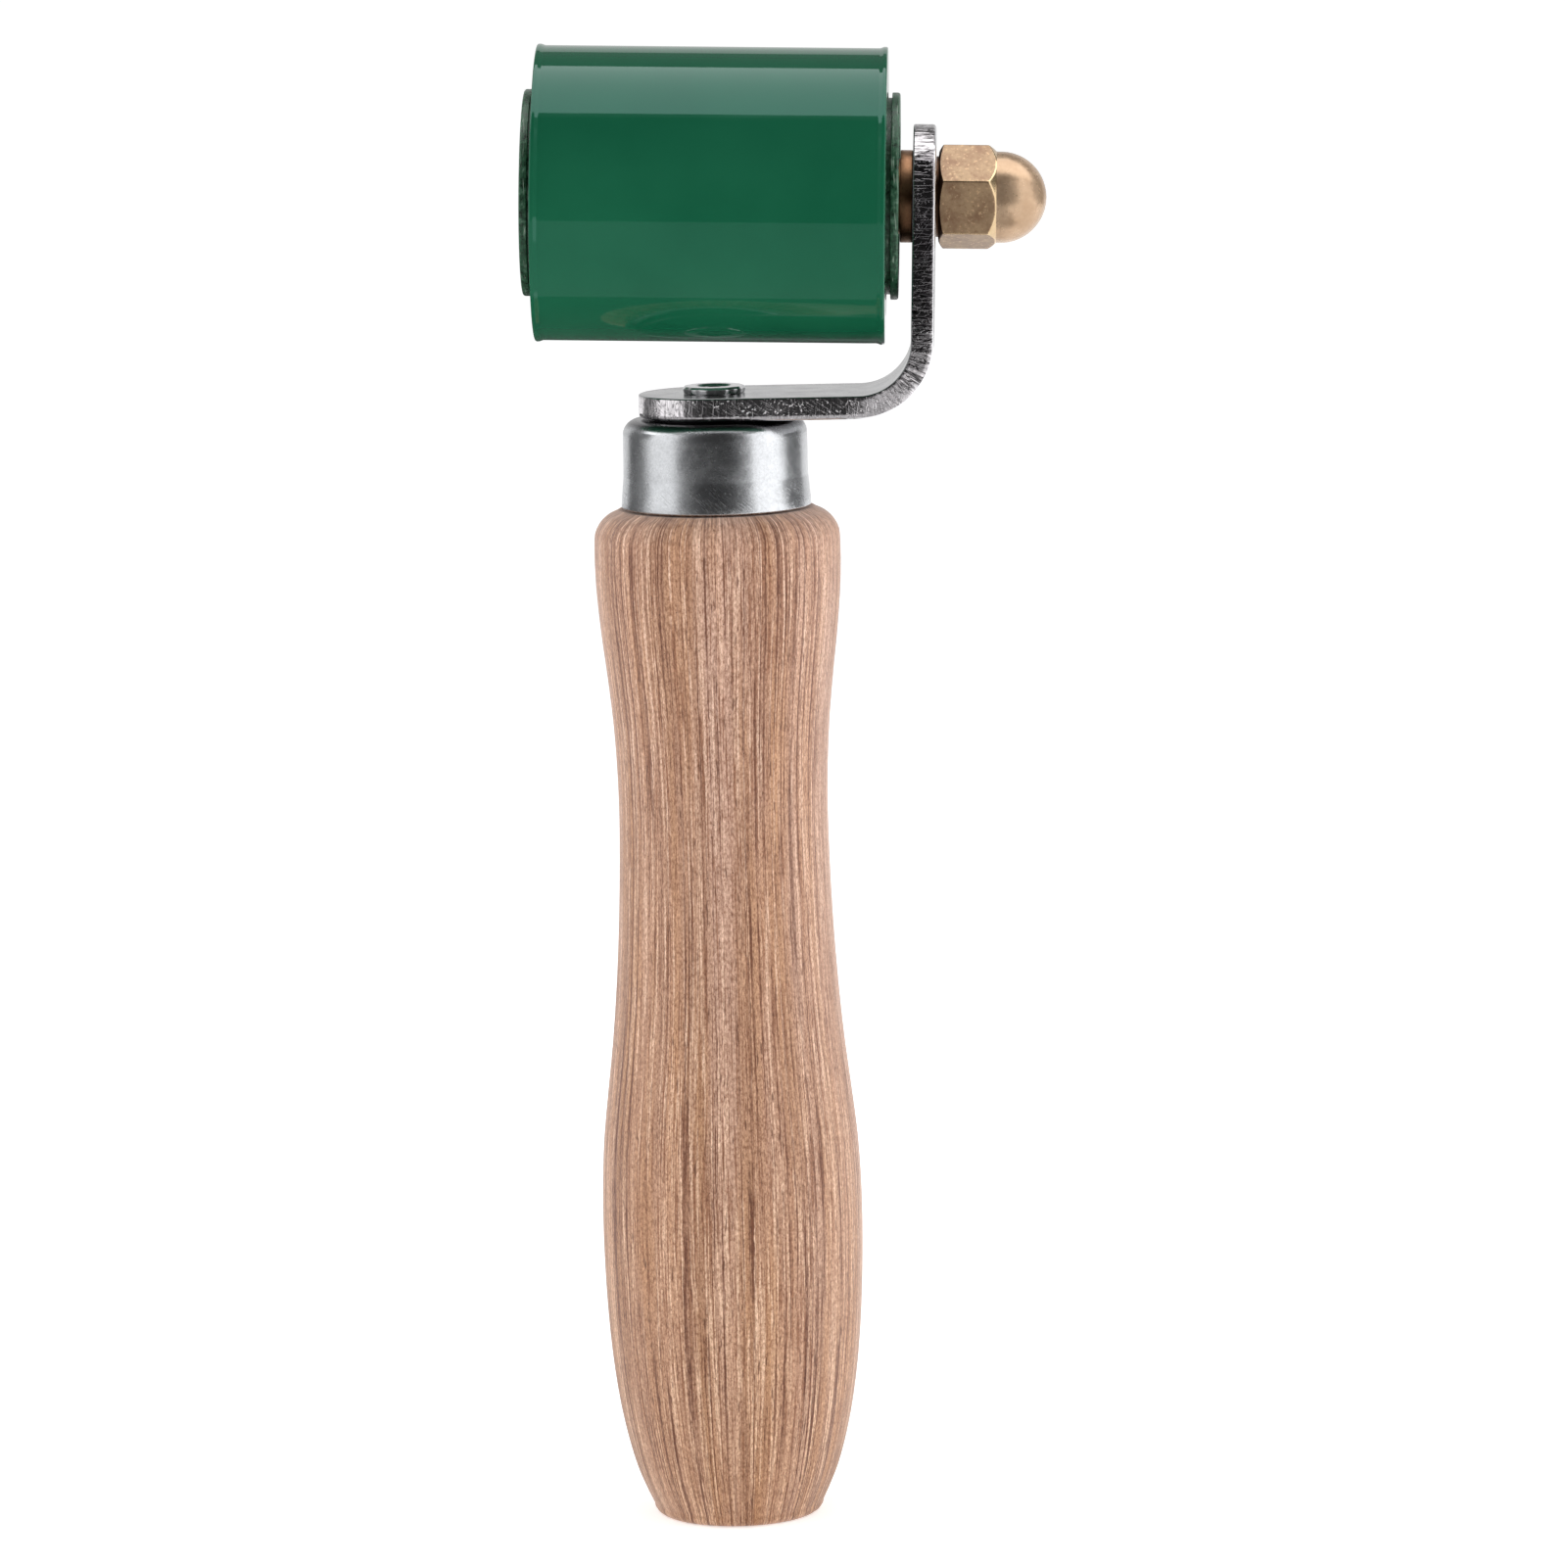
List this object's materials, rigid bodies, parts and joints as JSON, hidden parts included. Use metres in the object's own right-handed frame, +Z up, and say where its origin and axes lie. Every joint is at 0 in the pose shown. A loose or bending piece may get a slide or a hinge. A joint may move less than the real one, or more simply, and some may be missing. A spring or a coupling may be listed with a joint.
{
  "type": "seam roller",
  "caption": "Hand roller for pressing roofing membrane seams: a silicone roller on a side arm of bent steel, with a turned wooden handle.",
  "frame": {"origin": "centre of the handle's flat foot, on the surface that the tool stands on", "axes": "+Z up the handle's axis to the roller; +X along the axle from the roller to the dome nut, apart from the arm's lean of 1.7 degrees; +Y away from the side first seen"},
  "size_m": [0.06, 0.034, 0.1714],
  "materials": {
    "wood": "bare turned hardwood, fine straight grain",
    "plated_steel": "bright zinc or nickel plating, lightly scratched",
    "arm_steel": "plated steel strip with sheared edges",
    "brass": "machined brass, slightly dull",
    "silicone": "smooth glossy green silicone",
    "core": "green coated metal, dull",
    "bearing_steel": "ground bearing steel",
    "cage": "moulded cage"
  },
  "bodies": {
    "handle_frame": {"handle": "wood", "ferrule": "plated_steel", "tang_rivet": "arm_steel", "bracket_arm": "arm_steel", "axle_bolt": "plated_steel", "bearing_spacer": "arm_steel", "brass_collar": "brass", "dome_nut": "brass", "inner_race_left": "bearing_steel", "inner_race_right": "bearing_steel"},
    "roller": {"silicone_sleeve": "silicone", "roller_core": "core", "outer_race_left": "bearing_steel", "outer_race_right": "bearing_steel", "shield_left_outboard": "bearing_steel", "shield_left_inboard": "bearing_steel", "shield_right_outboard": "bearing_steel", "shield_right_inboard": "bearing_steel"},
    "cage_set_left": {"cage_left": "cage", "ball_left_1": "bearing_steel", "ball_left_2": "bearing_steel", "ball_left_3": "bearing_steel", "ball_left_4": "bearing_steel", "ball_left_5": "bearing_steel", "ball_left_6": "bearing_steel", "ball_left_7": "bearing_steel"},
    "cage_set_right": {"cage_right": "cage", "ball_right_1": "bearing_steel", "ball_right_2": "bearing_steel", "ball_right_3": "bearing_steel", "ball_right_4": "bearing_steel", "ball_right_5": "bearing_steel", "ball_right_6": "bearing_steel", "ball_right_7": "bearing_steel"}
  },
  "joints": [
    {"name": "roller_spin", "type": "hinge", "parent": "handle_frame", "child": "roller", "pos_m": [0.00025, 0, 0.1538], "axis": [0.9996, 0, -0.0297], "continuous": true},
    {"name": "cage_left_spin", "type": "hinge", "parent": "handle_frame", "child": "cage_set_left", "pos_m": [-0.01324, 0, 0.1542], "axis": [0.9996, 0, -0.0297], "continuous": true},
    {"name": "cage_right_spin", "type": "hinge", "parent": "handle_frame", "child": "cage_set_right", "pos_m": [0.01799, 0, 0.15327], "axis": [0.9996, 0, -0.0297], "continuous": true}
  ],
  "couplings": [
    {"joint": "cage_left_spin", "follows": "roller_spin", "ratio": 0.64},
    {"joint": "cage_right_spin", "follows": "roller_spin", "ratio": 0.64}
  ]
}
